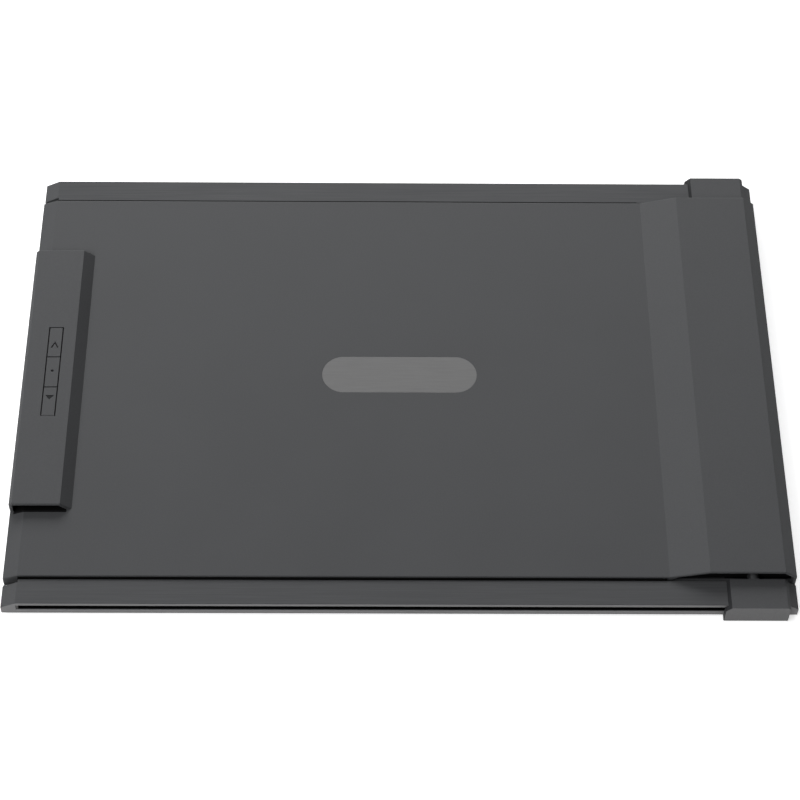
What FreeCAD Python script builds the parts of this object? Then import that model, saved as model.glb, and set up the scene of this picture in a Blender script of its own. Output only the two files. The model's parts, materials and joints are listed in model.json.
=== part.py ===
import FreeCAD, Part
import math
import os

import Sketcher

# Slide-out portable monitor for a laptop lid, stowed, seen with its back up.
# Millimetres, +Z up, origin at the centre of the underside. X runs along the rails,
# Y across them. The front is at -Y and the free end of the screen at -X.
# Three groups of pieces move: the base stays on the lid, the carriage slides along
# the rails, and the screen folds about the hinge rod that the carriage holds.

doc = FreeCAD.newDocument("slide_out_monitor")
sheet = doc.addObject("Spreadsheet::Sheet", "dims")
nodes = []


class Size:
    """A length with the sheet expression that drives it."""

    def __init__(self, value, text):
        self.value = value
        self.text = text

    def combine(self, other, sign, value):
        text = other.text if isinstance(other, Size) else repr(other)
        return Size(value, "(" + self.text + " " + sign + " " + text + ")")

    def __add__(self, other):
        return self.combine(other, "+", self.value + number(other))

    def __sub__(self, other):
        return self.combine(other, "-", self.value - number(other))

    def __mul__(self, other):
        return self.combine(other, "*", self.value * number(other))

    def __truediv__(self, other):
        return self.combine(other, "/", self.value / number(other))

    def __neg__(self):
        return self * -1


def number(size):
    return size.value if isinstance(size, Size) else float(size)


def dim(alias, value):
    """Write one driving dimension to the sheet and return it as a Size."""
    row = len(sheet.getUsedCells()) // 2 + 1
    sheet.set("A%d" % row, "'" + alias)
    sheet.set("B%d" % row, str(value))
    sheet.setAlias("B%d" % row, alias)
    return Size(float(value), "dims." + alias)


# ---- driving dimensions: rails and base -------------------------------------
half_length = dim("half_length", 155)
rail_inner = dim("rail_inner", 95.6)
rail_outer = dim("rail_outer", 106.5)
pad_height = dim("pad_height", 0.8)
plate_gauge = dim("plate_gauge", 0.8)
rail_height = dim("rail_height", 7.2)
ramp_run = dim("ramp_run", 5.9)
ramp_run_right = dim("ramp_run_right", 4)
ramp_drop = dim("ramp_drop", 3.2)
slot_half_length = dim("slot_half_length", 149)
slot_height = dim("slot_height", 2.75)
slot_rise = dim("slot_rise", 2.7)
slot_depth = dim("slot_depth", 5.2)
rail_edge = dim("rail_edge", 0.12)
rail_notch_length = dim("rail_notch_length", 6.3)
rail_notch_width = dim("rail_notch_width", 1.5)
rail_notch_rise = dim("rail_notch_rise", 2.4)
slot_edge = dim("slot_edge", 0.1)
plate_half_length = dim("plate_half_length", 118)
plate_half_width = dim("plate_half_width", 102.5)
plate_corner = dim("plate_corner", 3)
web_line = dim("web_line", 98.4)
plate_hole = dim("plate_hole", 1.0)
plate_sink = dim("plate_sink", 1.9)
plate_screw_reach = dim("plate_screw_reach", 4.0)
drive_half_span = dim("drive_half_span", 0.85)
drive_half_bar = dim("drive_half_bar", 0.16)
drive_depth = dim("drive_depth", 0.45)
magnet_centre = dim("magnet_centre", 80)
magnet_half_length = dim("magnet_half_length", 14.8)
magnet_half_width = dim("magnet_half_width", 1.7)
magnet_height = dim("magnet_height", 2.0)
pad_half_length = dim("pad_half_length", 22)
pad_line = dim("pad_line", 92)
pad_half_width = dim("pad_half_width", 8)
bumper_length = dim("bumper_length", 0.8)
fit_gap = dim("fit_gap", 0.1)

# ---- driving dimensions: carriage -------------------------------------------
block_left = dim("block_left", 126.1)
block_right = dim("block_right", 151.4)
block_outer = dim("block_outer", 108.7)
block_wall = dim("block_wall", 1.9)
block_roof = dim("block_roof", 1.3)
block_rise = dim("block_rise", 1.5)
block_lip = dim("block_lip", 0.8)
block_lip_inner = dim("block_lip_inner", 103.2)
block_bevel = dim("block_bevel", 0.25)
block_slope_left = dim("block_slope_left", 2.35)
block_slope_right = dim("block_slope_right", 1.3)
block_drop_left = dim("block_drop_left", 2.65)
block_drop_right = dim("block_drop_right", 1.1)
running_gap = dim("running_gap", 0.2)
glide_half_length = dim("glide_half_length", 8.2)
glide_gap = dim("glide_gap", 0.15)
peg_radius = dim("peg_radius", 0.8)
peg_reach = dim("peg_reach", 1.0)
peg_pitch = dim("peg_pitch", 8.6)
axis_along = dim("axis_along", 138)
axis_height = dim("axis_height", 8.0)
rod_radius = dim("rod_radius", 1.25)
rod_half_length = dim("rod_half_length", 95.2)
lug_radius = dim("lug_radius", 2.3)
lug_inner = dim("lug_inner", 92.8)
lug_outer = dim("lug_outer", 95.4)

# ---- driving dimensions: screen ---------------------------------------------
screen_half_width = dim("screen_half_width", 94.8)
screen_front = dim("screen_front", 2.3)
parting_line = dim("parting_line", 4.6)
panel_top = dim("panel_top", 9.9)
spine_top = dim("spine_top", 13.9)
spine_foot = dim("spine_foot", 105.3)
spine_crest = dim("spine_crest", 120.7)
spine_edge = dim("spine_edge", 150.1)
cover_skin = dim("cover_skin", 1.4)
cover_edge = dim("cover_edge", 0.5)
screen_ramp_drop = dim("screen_ramp_drop", 2.4)
recess_floor = dim("recess_floor", 6.9)
recess_rim = dim("recess_rim", 0.75)
recess_foot_run = dim("recess_foot_run", 3.2)
recess_end = dim("recess_end", 1.1)
cap_outer = dim("cap_outer", 92.6)
cap_gauge = dim("cap_gauge", 1.4)
notch_radius = dim("notch_radius", 2.65)
bar_crest_x = dim("bar_crest_x", -134.6)
bar_foot_x = dim("bar_foot_x", -130.3)
bar_top = dim("bar_top", 13.5)
bar_bevel = dim("bar_bevel", 1.1)
bar_bevel_run = dim("bar_bevel_run", 1.3)
bar_edge = dim("bar_edge", 0.6)
bar_skin = dim("bar_skin", 0.8)
bar_wall = dim("bar_wall", 1.5)
bar_half_width = dim("bar_half_width", 64.3)
bar_recess = dim("bar_recess", 2.6)
key_line = dim("key_line", -142.95)
key_half_width = dim("key_half_width", 2.63)
key_pitch = dim("key_pitch", 15.1)
key_middle = dim("key_middle", 0.2)
key_split = dim("key_split", 7.6)
key_window_rear = dim("key_window_rear", 23.1)
key_window_front = dim("key_window_front", -21.75)
key_gap = dim("key_gap", 0.2)
key_end_gap = dim("key_end_gap", 0.2)
key_side_gap = dim("key_side_gap", 0.45)
key_edge = dim("key_edge", 0.15)
switch_stem_radius = dim("switch_stem_radius", 0.7)
key_flange = dim("key_flange", 0.7)
mark_depth = dim("mark_depth", 0.25)
mark_stroke = dim("mark_stroke", 0.6)
dot_line = dim("dot_line", 0.75)
chevron_apex = dim("chevron_apex", 15.7)
chevron_height = dim("chevron_height", 3.1)
chevron_half_width = dim("chevron_half_width", 1.65)
triangle_top = dim("triangle_top", -11.5)
triangle_height = dim("triangle_height", 2.2)
triangle_half_width = dim("triangle_half_width", 1.85)
bezel_lip = dim("bezel_lip", 1.0)
seam_edge = dim("seam_edge", 0.2)
window_half_length = dim("window_half_length", 147.3)
window_half_width = dim("window_half_width", 83)
module_half_length = dim("module_half_length", 150.4)
module_half_width = dim("module_half_width", 88.4)
cell_gauge = dim("cell_gauge", 1.0)
film_gauge = dim("film_gauge", 0.3)
guide_gauge = dim("guide_gauge", 0.6)
reflector_gauge = dim("reflector_gauge", 0.15)
tray_gauge = dim("tray_gauge", 0.35)
led_width = dim("led_width", 1.6)
led_half_length = dim("led_half_length", 1.5)
led_flex_gauge = dim("led_flex_gauge", 0.15)
foam_outer = dim("foam_outer", 66)
foam_inner = dim("foam_inner", 24)
foam_half_width = dim("foam_half_width", 2.5)
clip_outer = dim("clip_outer", 2.05)
clip_gap = dim("clip_gap", 0.03)
clip_leaf = dim("clip_leaf", 0.8)
clip_end = dim("clip_end", 125.2)
clip_inner = dim("clip_inner", 69)
clip_length = dim("clip_length", 16)
board_left = dim("board_left", 107.6)
board_right = dim("board_right", 133)
board_half_width = dim("board_half_width", 60)
board_gauge = dim("board_gauge", 1.0)
board_floor = dim("board_floor", 6.8)
boss_radius = dim("boss_radius", 2.0)
boss_bore = dim("boss_bore", 0.92)
small_screw_radius = dim("small_screw_radius", 0.9)
small_head_radius = dim("small_head_radius", 1.7)
small_head_height = dim("small_head_height", 0.7)
port_line = dim("port_line", -45)
port_half_width = dim("port_half_width", 4.47)
port_height = dim("port_height", 3.2)
port_depth = dim("port_depth", 7.3)
port_floor = dim("port_floor", 8.6)
port_wall = dim("port_wall", 0.3)
port_corner = dim("port_corner", 1.3)
control_gauge = dim("control_gauge", 0.8)
control_half_width = dim("control_half_width", 60)
cable_half_width = dim("cable_half_width", 8)
cable_gauge = dim("cable_gauge", 0.3)
inlay_half_length = dim("inlay_half_length", 32)
inlay_radius = dim("inlay_radius", 9)
inlay_depth = dim("inlay_depth", 0.3)
inlay_line = dim("inlay_line", 2)
bumper_radius = dim("bumper_radius", 2.4)
bumper_height = dim("bumper_height", 0.4)

# ---- levels worked out from them --------------------------------------------
plate_top = pad_height + plate_gauge
rail_bottom = plate_top
rail_top = rail_bottom + rail_height
slot_floor = rail_bottom + slot_rise
slot_roof = slot_floor + slot_height
block_top = rail_top + block_rise
block_bottom = rail_bottom - running_gap - block_lip
block_centre = (block_left + block_right) / 2
bar_floor = panel_top - screen_ramp_drop
cell_bottom = screen_front + bezel_lip
film_bottom = cell_bottom + cell_gauge
guide_bottom = film_bottom + film_gauge
reflector_bottom = guide_bottom + guide_gauge
tray_bottom = reflector_bottom + reflector_gauge
tray_top = tray_bottom + tray_gauge
skin_under = panel_top - cover_skin
spine_under = spine_top - cover_skin
bar_under = bar_top - bar_skin
clip_roof = axis_height + clip_outer
control_floor = panel_top + 0.05
control_top = control_floor + control_gauge
doc.recompute()


# ---- shared ways of making features -----------------------------------------
def bind(item, path, size):
    if isinstance(size, Size):
        item.setExpression(path, size.text)


def finish(item, label):
    """Name a finished sub-part and put it on the list to be written."""
    item.Label = label
    nodes.append(item)
    return item


def new_body(label):
    body = doc.addObject("PartDesign::Body", label + "_body")
    return finish(body, label)


def new_sketch(body, plane, low, high):
    """An empty sketch on one of the body's own planes, at the start of its span."""
    sketch = body.newObject("Sketcher::SketchObject", "outline")
    origin = [item for item in body.Origin.OriginFeatures if item.Role == plane][0]
    sketch.AttachmentSupport = [(origin, "")]
    sketch.MapMode = "FlatFace"
    # The XZ plane's normal is -Y, so its span starts from the high side.
    start = high * -1 if plane == "XZ_Plane" else low
    sketch.AttachmentOffset = FreeCAD.Placement(FreeCAD.Vector(0, 0, number(start)), FreeCAD.Rotation())
    bind(sketch, "AttachmentOffset.Base.z", start)
    return sketch


def place_point(sketch, geometry, position, point):
    """Tie one sketch point to the sketch origin by two driven distances."""
    for kind, size in zip(("DistanceX", "DistanceY"), point):
        index = sketch.addConstraint(Sketcher.Constraint(kind, -1, 1, geometry, position, number(size)))
        bind(sketch, "Constraints[%d]" % index, size)


def sweep_sketch(body, kind, sketch, low, high):
    feature = body.newObject("PartDesign::" + kind, kind.lower())
    feature.Profile = sketch
    feature.Length = number(high - low)
    bind(feature, "Length", high - low)
    if kind == "Pocket":
        feature.Reversed = True
    return feature


def prism(body, kind, plane, points, low, high):
    """Pad or pocket a closed outline between two levels along the plane's axis."""
    sketch = new_sketch(body, plane, low, high)
    count = len(points)
    for index, point in enumerate(points):
        following = points[(index + 1) % count]
        start = FreeCAD.Vector(number(point[0]), number(point[1]), 0)
        end = FreeCAD.Vector(number(following[0]), number(following[1]), 0)
        sketch.addGeometry(Part.LineSegment(start, end), False)
    for index, point in enumerate(points):
        sketch.addConstraint(Sketcher.Constraint("Coincident", index, 2, (index + 1) % count, 1))
        place_point(sketch, index, 1, point)
    return sweep_sketch(body, kind, sketch, low, high)


def discs(body, kind, plane, centres, radius, low, high):
    """Pad or pocket round shapes between two levels along the plane's axis."""
    sketch = new_sketch(body, plane, low, high)
    for index, centre in enumerate(centres):
        middle = FreeCAD.Vector(number(centre[0]), number(centre[1]), 0)
        sketch.addGeometry(Part.Circle(middle, FreeCAD.Vector(0, 0, 1), number(radius)), False)
        place_point(sketch, index, 3, centre)
        limit = sketch.addConstraint(Sketcher.Constraint("Radius", index, number(radius)))
        bind(sketch, "Constraints[%d]" % limit, radius)
    return sweep_sketch(body, kind, sketch, low, high)


def rectangle(left, right, low, high):
    return [(left, low), (right, low), (right, high), (left, high)]


def break_edges(body, kind, size, chosen):
    """Chamfer or fillet the edges of the body that the test picks out."""
    doc.recompute()
    base = body.Tip
    names = []
    for index, edge in enumerate(base.Shape.Edges):
        if chosen(edge):
            names.append("Edge%d" % (index + 1))
    feature = body.newObject("PartDesign::" + kind, kind.lower())
    feature.Base = (base, names)
    bind(feature, "Size" if kind == "Chamfer" else "Radius", size)
    return feature


def near(value, size):
    return abs(value - number(size)) < 0.01


def side_span(side, inner, outer):
    """The low and high Y of a piece on the front (-1) or rear (+1) side."""
    return (inner, outer) if side > 0 else (-outer, -inner)


def box(name, across, along, up):
    """A primitive box between pairs of X, Y and Z levels."""
    item = doc.addObject("Part::Box", name)
    for path, pair in (("Length", across), ("Width", along), ("Height", up)):
        setattr(item, path, number(pair[1] - pair[0]))
        bind(item, path, pair[1] - pair[0])
    for path, pair in (("x", across), ("y", along), ("z", up)):
        bind(item, "Placement.Base." + path, pair[0])
    return item


def upright(name, centre, radius, low, high):
    """A primitive cylinder that stands on Z."""
    item = doc.addObject("Part::Cylinder", name)
    bind(item, "Radius", radius)
    bind(item, "Height", high - low)
    for path, size in (("x", centre[0]), ("y", centre[1]), ("z", low)):
        bind(item, "Placement.Base." + path, size)
    return item


def fuse(name, members):
    item = doc.addObject("Part::MultiFuse", name)
    item.Shapes = members
    return item


def group(name, members):
    item = doc.addObject("Part::Compound", name)
    item.Links = members
    return item


def both_ways(size):
    return (-size, size)


def screw_places(stations, line):
    """Every station along X on both sides of the centre line."""
    places = []
    for along in stations:
        for across in both_ways(line):
            places.append((along, across))
    return places


plate_stations = [dim("screw_end", 110) * -1, dim("screw_mid", 46) * -1, dim("screw_zero", 0)]
plate_stations += [-station for station in plate_stations[:2]]
plate_places = screw_places(plate_stations, web_line)
clip_places = [dim("clip_screw_low", 73), dim("clip_screw_high", 81)]
clip_screw_line = dim("clip_screw_line", 128.2)
board_places = screw_places([dim("board_screw_left", 112.5), dim("board_screw_right", 129.5)],
                            dim("board_screw_line", 54))


# ---- base: two rails tied by a plate ----------------------------------------
def make_rail(label, side):
    """An extruded rail: ramped ends, a slot along its outward face, a notched inner corner."""
    rail = new_body(label)
    outline = [
        (-half_length, rail_bottom),
        (half_length, rail_bottom),
        (half_length, rail_top - ramp_drop),
        (half_length - ramp_run_right, rail_top),
        (ramp_run - half_length, rail_top),
        (-half_length, rail_top - ramp_drop),
    ]
    prism(rail, "Pad", "XZ_Plane", outline, *side_span(side, rail_inner, rail_outer))
    ramp_foot = number(rail_top - ramp_drop)

    def on_top(edge):
        middle = edge.CenterOfMass
        on_face = near(abs(middle.y), rail_outer) or near(abs(middle.y), rail_inner)
        return on_face and middle.z > ramp_foot

    break_edges(rail, "Chamfer", rail_edge, on_top)
    slot = rectangle(-slot_half_length, slot_half_length, slot_floor, slot_roof)
    prism(rail, "Pocket", "XZ_Plane", slot, *side_span(side, rail_outer - slot_depth, rail_outer))

    def on_slot_mouth(edge):
        middle = edge.CenterOfMass
        inside = number(slot_floor) - 0.01 <= middle.z <= number(slot_roof) + 0.01
        return near(abs(middle.y), rail_outer) and inside and abs(middle.x) < number(half_length) - 1

    break_edges(rail, "Chamfer", slot_edge, on_slot_mouth)
    notch = rectangle(-half_length, rail_notch_length - half_length, rail_bottom + rail_notch_rise, rail_top)
    prism(rail, "Pocket", "XZ_Plane", notch, *side_span(side, rail_inner, rail_inner + rail_notch_width))
    line = web_line if side > 0 else -web_line
    holes = [(along, line) for along in plate_stations]
    discs(rail, "Pocket", "XY_Plane", holes, plate_hole, rail_bottom, rail_bottom + plate_screw_reach)
    for centre in both_ways(magnet_centre):
        seat = rectangle(centre - magnet_half_length - fit_gap, centre + magnet_half_length + fit_gap,
                         line - magnet_half_width - fit_gap, line + magnet_half_width + fit_gap)
        prism(rail, "Pocket", "XY_Plane", seat, rail_bottom, rail_bottom + magnet_height + fit_gap * 2)


def make_plate():
    """A sheet plate under both rails, countersunk for its screws."""
    blank = box("plate_blank", both_ways(plate_half_length), both_ways(plate_half_width),
                (pad_height, plate_top))
    doc.recompute()
    rounded = doc.addObject("Part::Fillet", "plate_rounded")
    rounded.Base = blank
    corner = plate_corner.value
    uprights = []
    for index, edge in enumerate(blank.Shape.Edges):
        if abs(edge.tangentAt(edge.FirstParameter).z) > 0.9:
            uprights.append((index + 1, corner, corner))
    rounded.Edges = uprights
    sinks = []
    for place in plate_places:
        sinks.append(make_cone("plate_sink", place, plate_sink, plate_hole, pad_height, plate_top))
    plate = doc.addObject("Part::Cut", "plate_cut")
    plate.Base = rounded
    plate.Tool = fuse("plate_sinks", sinks)
    finish(plate, "base_plate")


def make_cone(name, centre, low_radius, high_radius, low, high):
    item = doc.addObject("Part::Cone", name)
    bind(item, "Radius1", low_radius)
    bind(item, "Radius2", high_radius)
    bind(item, "Height", high - low)
    for path, size in (("x", centre[0]), ("y", centre[1]), ("z", low)):
        bind(item, "Placement.Base." + path, size)
    return item


def cross_recess(centre, low):
    """The two crossed bars that make a screw's drive recess."""
    bars = []
    for reach_x, reach_y in ((drive_half_span, drive_half_bar), (drive_half_bar, drive_half_span)):
        across = (centre[0] - reach_x, centre[0] + reach_x)
        along = (centre[1] - reach_y, centre[1] + reach_y)
        bars.append(box("drive_bar", across, along, (low, low + drive_depth)))
    return fuse("drive_cross", bars)


def driven_screw(solids, centre, head_floor):
    """Fuse a screw's solids and sink a cross recess into the head from below."""
    screw = doc.addObject("Part::Cut", "screw")
    screw.Base = fuse("screw_blank", solids)
    screw.Tool = cross_recess(centre, head_floor)
    return screw


def make_plate_screws():
    shank = plate_hole - 0.05
    screws = []
    for place in plate_places:
        head = make_cone("screw_head", place, plate_sink - 0.03, shank, pad_height, plate_top)
        stem = upright("screw_stem", place, shank, plate_top, plate_top + plate_screw_reach - 0.2)
        screws.append(driven_screw([head, stem], place, pad_height))
    finish(group("plate_screw_group", screws), "plate_screws")


def make_magnets():
    """Bar magnets let into the underside of both rails."""
    bars = []
    for centre in both_ways(magnet_centre):
        for line in both_ways(web_line):
            bars.append(box("magnet", (centre - magnet_half_length, centre + magnet_half_length),
                            (line - magnet_half_width, line + magnet_half_width),
                            (rail_bottom, rail_bottom + magnet_height)))
    finish(group("magnet_group", bars), "magnets")


def make_mount_pads():
    """Four pads with round ends that meet the laptop lid."""
    pads = []
    for centre in both_ways(magnet_centre):
        for line in both_ways(pad_line):
            reach = pad_half_length - pad_half_width
            middle = box("pad_middle", (centre - reach, centre + reach),
                         (line - pad_half_width, line + pad_half_width),
                         (pad_height * 0, pad_height))
            ends = []
            for end in (centre - reach, centre + reach):
                ends.append(upright("pad_end", (end, line), pad_half_width, pad_height * 0, pad_height))
            pads.append(fuse("pad", [middle] + ends))
    finish(group("pad_group", pads), "mount_pads")


def make_slide_bumpers():
    """Rubber blocks that close both ends of both slots."""
    blocks = []
    for side in (-1, 1):
        low, high = side_span(side, rail_outer - slot_depth + fit_gap, rail_outer - fit_gap * 2)
        for ends in ((-slot_half_length, bumper_length - slot_half_length),
                     (slot_half_length - bumper_length, slot_half_length)):
            blocks.append(box("bumper", ends, (low, high), (slot_floor + fit_gap, slot_roof - fit_gap)))
    finish(group("bumper_group", blocks), "slide_bumpers")


# ---- carriage: two C-shaped blocks tied by the hinge rod ---------------------
def make_block(label, side):
    """A block that wraps over, outside and under its rail, with a hinge lug."""
    block = new_body(label)
    outer = block_outer if side > 0 else -block_outer
    inner = rail_inner if side > 0 else -rail_inner
    wall = (block_outer - block_wall) if side > 0 else -(block_outer - block_wall)
    lip = block_lip_inner if side > 0 else -block_lip_inner
    roof_under = block_top - block_roof
    lip_top = block_bottom + block_lip
    section = [
        (outer, block_bottom),
        (outer, block_top),
        (inner, block_top),
        (inner, roof_under),
        (wall, roof_under),
        (wall, lip_top),
        (lip, lip_top),
        (lip, block_bottom),
    ]
    prism(block, "Pad", "YZ_Plane", section, block_left, block_right)
    for end, crest, drop in ((block_left, block_left + block_slope_left, block_drop_left),
                             (block_right, block_right - block_slope_right, block_drop_right)):
        corner = [(end, block_top - drop), (crest, block_top), (end, block_top)]
        prism(block, "Pocket", "XZ_Plane", corner, *side_span(side, rail_inner, block_outer))

    def on_outer_corners(edge):
        middle = edge.CenterOfMass
        at_end = near(middle.x, block_left) or near(middle.x, block_right)
        return at_end and near(abs(middle.y), block_outer)

    break_edges(block, "Chamfer", block_bevel, on_outer_corners)
    axis = [(axis_along, axis_height)]
    discs(block, "Pad", "XZ_Plane", axis, lug_radius, *side_span(side, lug_inner, lug_outer))
    neck_half = lug_radius * 0.89
    neck = rectangle(axis_along - neck_half, axis_along + neck_half, roof_under, block_top - fit_gap)
    prism(block, "Pad", "XZ_Plane", neck, *side_span(side, lug_outer - fit_gap, rail_inner + fit_gap))
    bore = side_span(side, lug_inner, lug_outer)
    discs(block, "Pocket", "XZ_Plane", axis, rod_radius + 0.02, *bore)
    middle = (slot_floor + slot_roof) / 2
    pegs = [(block_centre - peg_pitch / 2, middle), (block_centre + peg_pitch / 2, middle)]
    wall_face = block_outer - block_wall
    depth = side_span(side, wall_face, wall_face + peg_reach)
    discs(block, "Pocket", "XZ_Plane", pegs, peg_radius, *depth)


def make_glide(label, side):
    """A slippery shoe that runs in the rail's slot, pegged to the block."""
    glide = new_body(label)
    wall_face = block_outer - block_wall
    shoe = rectangle(block_centre - glide_half_length, block_centre + glide_half_length,
                     slot_floor + glide_gap, slot_roof - glide_gap)
    inner = rail_outer - slot_depth + glide_gap * 2
    prism(glide, "Pad", "XZ_Plane", shoe, *side_span(side, inner, wall_face))
    middle = (slot_floor + slot_roof) / 2
    pegs = [(block_centre - peg_pitch / 2, middle), (block_centre + peg_pitch / 2, middle)]
    reach = side_span(side, wall_face, wall_face + peg_reach - fit_gap)
    discs(glide, "Pad", "XZ_Plane", pegs, peg_radius - 0.02, *reach)


def make_rod():
    rod = new_body("hinge_rod")
    discs(rod, "Pad", "XZ_Plane", [(axis_along, axis_height)], rod_radius, -rod_half_length,
          rod_half_length)


# ---- screen: housing ---------------------------------------------------------
def spine_mouth():
    """The opening in the side wall at one end of the spine, under a thin rim."""
    rim = spine_top - recess_rim
    return [
        (spine_foot - 0.3, recess_floor),
        (spine_foot + recess_foot_run, panel_top + 0.1),
        (spine_crest - 0.2, rim),
        (spine_edge - 0.2, rim),
        (half_length - recess_end, panel_top - 0.1),
        (half_length - recess_end, recess_floor),
    ]


def make_back_cover():
    """The back shell: flat panel, ramped left end and raised spine over the hinge."""
    cover = new_body("back_cover")
    outside = [
        (-half_length, parting_line),
        (half_length, parting_line),
        (half_length, panel_top),
        (spine_edge, spine_top),
        (spine_crest, spine_top),
        (spine_foot, panel_top),
        (ramp_run - half_length, panel_top),
        (-half_length, bar_floor),
    ]
    prism(cover, "Pad", "XZ_Plane", outside, -screen_half_width, screen_half_width)
    panel_level = number(panel_top) - number(ramp_drop)

    def on_side_rims(edge):
        middle = edge.CenterOfMass
        return near(abs(middle.y), screen_half_width) and middle.z > panel_level + 0.5

    break_edges(cover, "Fillet", cover_edge, on_side_rims)
    hollow = [
        (cover_skin - half_length, parting_line),
        (half_length - cover_skin, parting_line),
        (half_length - cover_skin, panel_top - 0.6),
        (spine_edge - 0.6, spine_under),
        (spine_crest - 0.25, spine_under),
        (spine_foot - 0.25, skin_under),
        (ramp_run - half_length + 0.3, skin_under),
        (cover_skin - half_length, bar_floor - 0.8),
    ]
    hollow_half = screen_half_width - cover_skin
    prism(cover, "Pocket", "XZ_Plane", hollow, -hollow_half, hollow_half)
    for side in (-1, 1):
        mouth = side_span(side, hollow_half, screen_half_width)
        prism(cover, "Pocket", "XZ_Plane", spine_mouth(), *mouth)
        discs(cover, "Pocket", "XZ_Plane", [(axis_along, axis_height)], notch_radius, *mouth)
        for line in clip_places:
            boss = (clip_screw_line, line if side > 0 else -line)
            discs(cover, "Pad", "XY_Plane", [boss], boss_radius, clip_roof, spine_under + 0.3)
    discs(cover, "Pad", "XY_Plane", board_places[2:], boss_radius, board_floor + board_gauge,
          spine_under + 0.3)
    low_roof = skin_under + (board_places[0][0] - spine_foot) * 0.26
    discs(cover, "Pad", "XY_Plane", board_places[:2], boss_radius, board_floor + board_gauge,
          low_roof + 0.9)
    clip_bores = screw_places([clip_screw_line], clip_places[0])
    clip_bores += screw_places([clip_screw_line], clip_places[1])
    discs(cover, "Pocket", "XY_Plane", clip_bores, boss_bore, clip_roof, spine_under)
    discs(cover, "Pocket", "XY_Plane", board_places, boss_bore, board_floor + board_gauge, low_roof)
    slot = rectangle(key_line + 3.3, key_line + 6.2, -cable_half_width - 1, cable_half_width + 1)
    prism(cover, "Pocket", "XY_Plane", slot, skin_under, panel_top)
    port_reach = port_half_width + 0.6
    port_bay = rectangle(port_depth - half_length - 5, port_depth - half_length + 2,
                         port_line - port_reach, port_line + port_reach)
    prism(cover, "Pocket", "XY_Plane", port_bay, bar_floor - 0.5, panel_top)
    make_inlay_outline(cover, "Pocket", inlay_radius + 0.05, inlay_half_length + 0.05,
                       panel_top - inlay_depth, panel_top)


def make_inlay_outline(body, kind, radius, reach, low, high):
    """A pill outline: two half circles joined by straight sides."""
    sketch = new_sketch(body, "XY_Plane", low, high)
    middle = reach - radius
    ends = []
    for sign in (1, -1):
        centre = FreeCAD.Vector(sign * number(middle), number(inlay_line), 0)
        circle = Part.Circle(centre, FreeCAD.Vector(0, 0, 1), number(radius))
        start = -math.pi / 2 if sign > 0 else math.pi / 2
        ends.append(sketch.addGeometry(Part.ArcOfCircle(circle, start, start + math.pi), False))
    corners = []
    for across in (inlay_line + radius, inlay_line - radius):
        corners.append([FreeCAD.Vector(sign * number(middle), number(across), 0) for sign in (1, -1)])
    top = sketch.addGeometry(Part.LineSegment(corners[0][0], corners[0][1]), False)
    bottom = sketch.addGeometry(Part.LineSegment(corners[1][1], corners[1][0]), False)
    for pair in ((ends[0], 2, top, 1), (top, 2, ends[1], 1), (ends[1], 2, bottom, 1),
                 (bottom, 2, ends[0], 1)):
        sketch.addConstraint(Sketcher.Constraint("Tangent", *pair))
    limit = sketch.addConstraint(Sketcher.Constraint("Radius", ends[0], number(radius)))
    bind(sketch, "Constraints[%d]" % limit, radius)
    place_point(sketch, ends[0], 3, (middle, inlay_line))
    span = sketch.addConstraint(Sketcher.Constraint("DistanceX", -1, 1, ends[1], 3, -number(middle)))
    bind(sketch, "Constraints[%d]" % span, -middle)
    return sweep_sketch(body, kind, sketch, low, high)


def make_inlay():
    inlay = new_body("badge_inlay")
    make_inlay_outline(inlay, "Pad", inlay_radius, inlay_half_length, panel_top - inlay_depth, panel_top)


def make_spine_cap(label, side):
    """The recessed wall that closes one end of the spine."""
    cap = new_body(label)
    span = side_span(side, cap_outer - cap_gauge, cap_outer)
    left = spine_foot - 2
    right = half_length - cover_skin - fit_gap
    outline = [
        (left, recess_floor - fit_gap),
        (left, skin_under - fit_gap),
        (spine_foot - 0.25, skin_under - fit_gap),
        (spine_crest - 0.25, spine_under - fit_gap),
        (spine_edge - 0.7, spine_under - fit_gap),
        (right, panel_top - 0.7),
        (right, recess_floor - fit_gap),
    ]
    prism(cap, "Pad", "XZ_Plane", outline, *span)
    skirt = rectangle(clip_end + 2, half_length - 3, tray_top + 0.2, recess_floor)
    prism(cap, "Pad", "XZ_Plane", skirt, *span)
    discs(cap, "Pocket", "XZ_Plane", [(axis_along, axis_height)], rod_radius + 0.1, *span)


def make_bezel():
    """The front frame round the display window, with a pocket for the display."""
    bezel = new_body("front_bezel")
    outside = rectangle(-half_length, half_length, -screen_half_width, screen_half_width)
    prism(bezel, "Pad", "XY_Plane", outside, screen_front, parting_line)

    def on_front_rim(edge):
        middle = edge.CenterOfMass
        return near(middle.z, screen_front)

    break_edges(bezel, "Fillet", cover_edge, on_front_rim)

    def on_seam(edge):
        return near(edge.CenterOfMass.z, parting_line)

    break_edges(bezel, "Chamfer", seam_edge, on_seam)
    window = rectangle(-window_half_length, window_half_length, -window_half_width, window_half_width)
    prism(bezel, "Pocket", "XY_Plane", window, screen_front, cell_bottom)
    seat_length = module_half_length + 0.8
    seat_width = module_half_width + 0.8
    seat = rectangle(-seat_length, seat_length, -seat_width, seat_width)
    prism(bezel, "Pocket", "XY_Plane", seat, cell_bottom, parting_line)


def make_bumpers():
    """Soft dots on the four corners of the bezel."""
    dots = []
    for across in both_ways(half_length - 4):
        for along in both_ways(screen_half_width - 4):
            dots.append(upright("dot", (across, along), bumper_radius, screen_front - bumper_height,
                                screen_front))
    finish(group("dot_group", dots), "bezel_bumpers")


# ---- screen: display stack ---------------------------------------------------
def make_sheet(label, low, high, inset, front_inset):
    """One flat layer of the display stack."""
    length = module_half_length - inset
    width = module_half_width - inset
    layer = new_body(label)
    prism(layer, "Pad", "XY_Plane", rectangle(-length, length, front_inset - width, width), low, high)


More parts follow.
